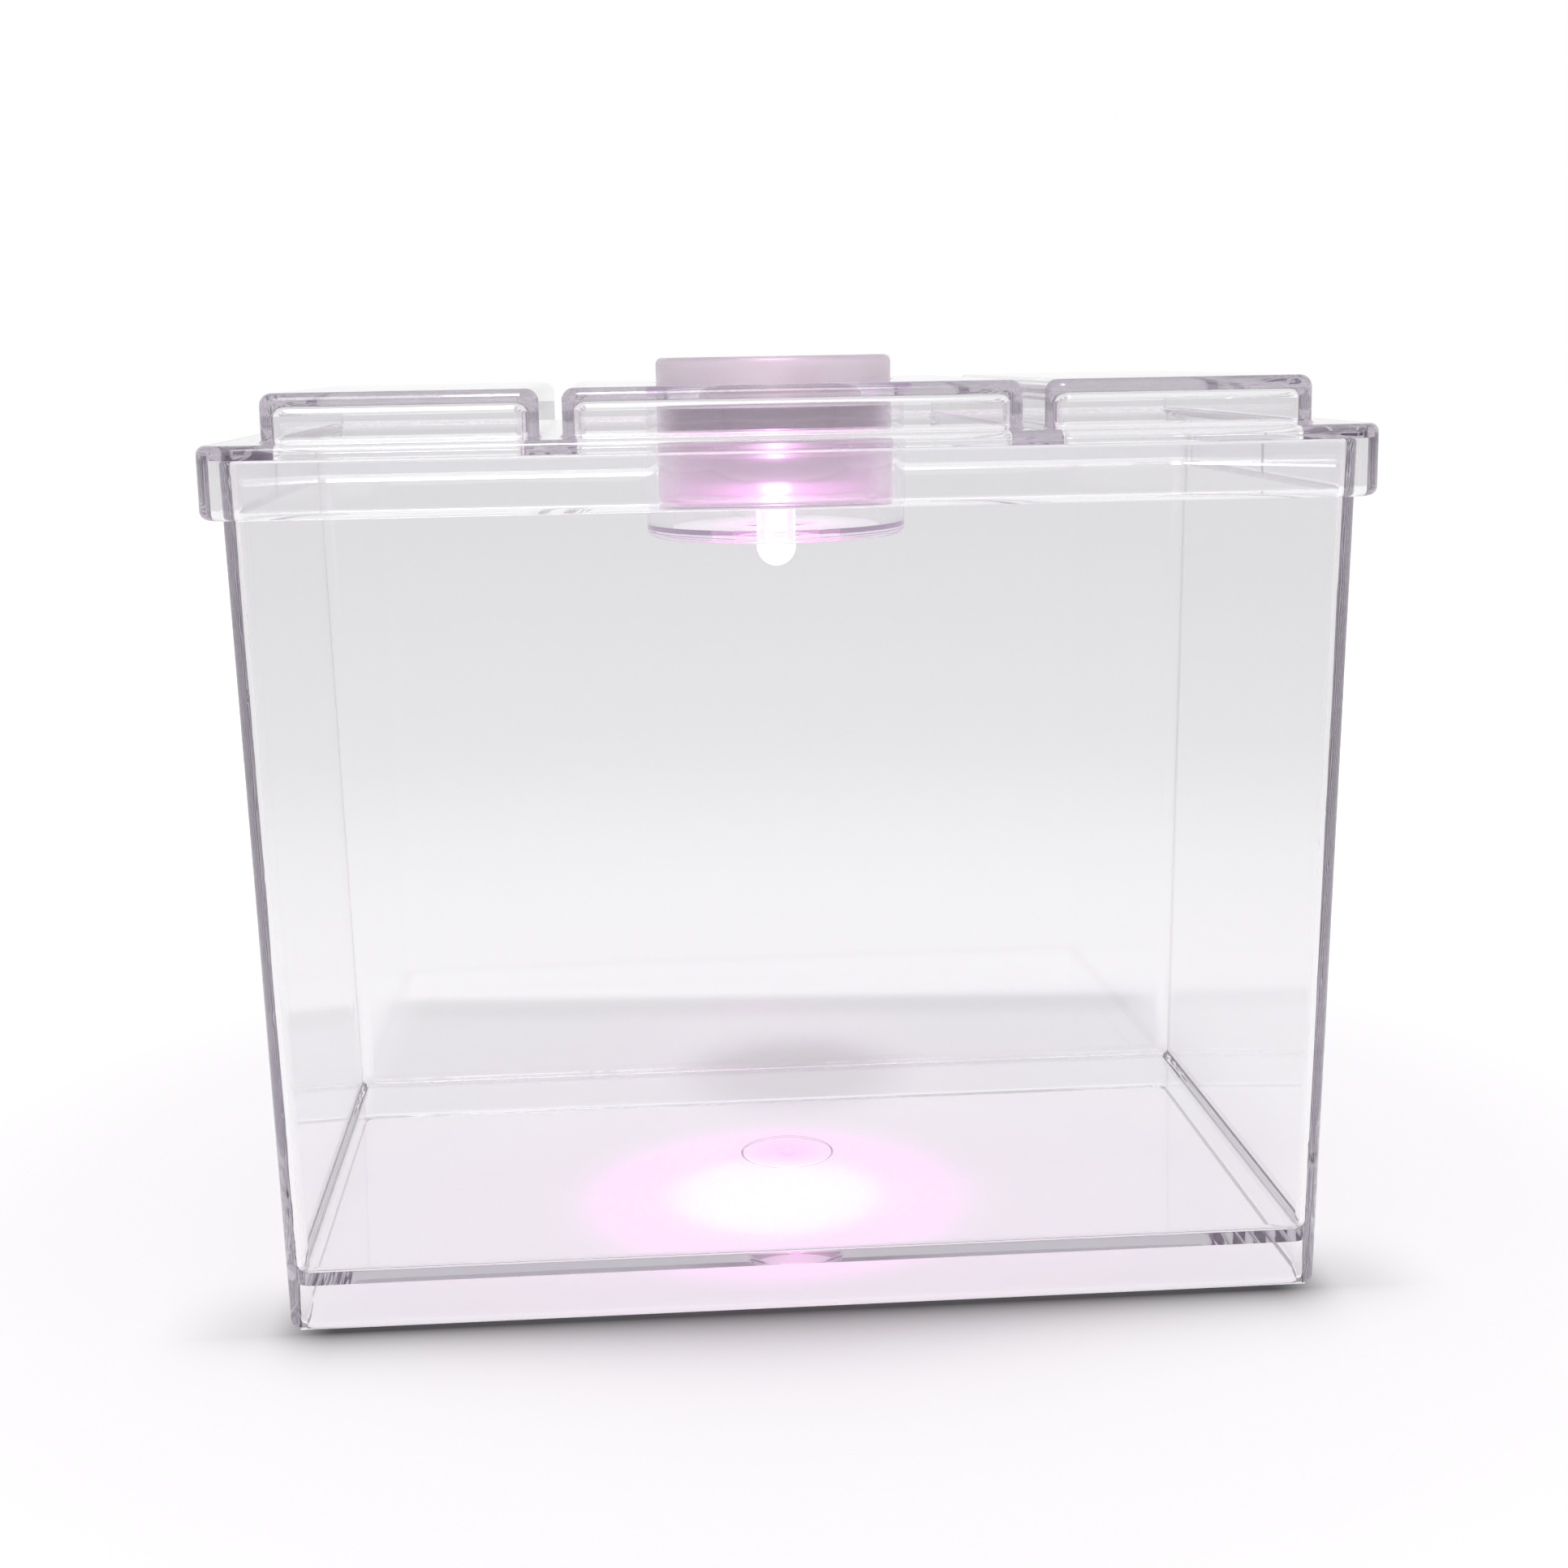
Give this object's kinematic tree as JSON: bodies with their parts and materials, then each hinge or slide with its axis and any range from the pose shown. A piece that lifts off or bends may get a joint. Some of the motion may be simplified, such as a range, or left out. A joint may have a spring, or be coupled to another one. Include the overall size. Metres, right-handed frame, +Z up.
{
  "type": "mini aquarium",
  "caption": "Small clear box aquarium with drafted walls, a lift-off lid of hollow raised blocks, and a round frosted battery lamp whose LED shines down through a cup in the lid.",
  "frame": {"origin": "middle of the tank's foot, on the surface that it stands on", "axes": "+Z up, +X along the tank's length, +Y from the front to the back"},
  "size_m": [0.1332, 0.0846, 0.1131],
  "materials": {
    "clear_plastic": "polished clear moulding, faint lavender tint",
    "frosted_plastic": "frosted translucent lavender moulding",
    "seal_rubber": "smooth black rubber",
    "clear_silicone": "milky silicone",
    "carrier_plastic": "natural translucent moulding, fine matte",
    "cell_steel": "nickel-plated pressed steel",
    "gasket_plastic": "smooth",
    "led_epoxy": "water-clear cast epoxy",
    "lead_metal": "tinned",
    "led_glow": "lit die",
    "contact_metal": "stamped spring sheet, nickel-plated"
  },
  "bodies": {
    "tank": {"tank": "clear_plastic"},
    "lid": {"lid": "clear_plastic", "lamp_cup": "clear_plastic"},
    "lamp": {"lamp_housing": "frosted_plastic", "cell_carrier": "carrier_plastic", "cell_can": "cell_steel", "cell_gasket": "gasket_plastic", "cell_cap": "cell_steel", "led_lens": "led_epoxy", "led_cathode_lead": "lead_metal", "led_anode_lead": "lead_metal", "led_chip": "led_glow", "led_seal": "clear_silicone", "contact_strip": "contact_metal"},
    "cap": {"lamp_cap": "frosted_plastic", "cap_seal": "seal_rubber", "cap_contact": "contact_metal"}
  },
  "joints": [
    {"name": "lid_lift", "type": "slide", "parent": "tank", "child": "lid", "axis": [0, 0, 1], "range_m": [0, 0.03]},
    {"name": "lamp_lift", "type": "slide", "parent": "lid", "child": "lamp", "axis": [0, 0, 1], "range_m": [0, 0.03]},
    {"name": "cap_twist", "type": "hinge", "parent": "lamp", "child": "cap", "pos_m": [0, 0, 0.107], "axis": [0, 0, 1], "range_deg": [0, 60]}
  ]
}
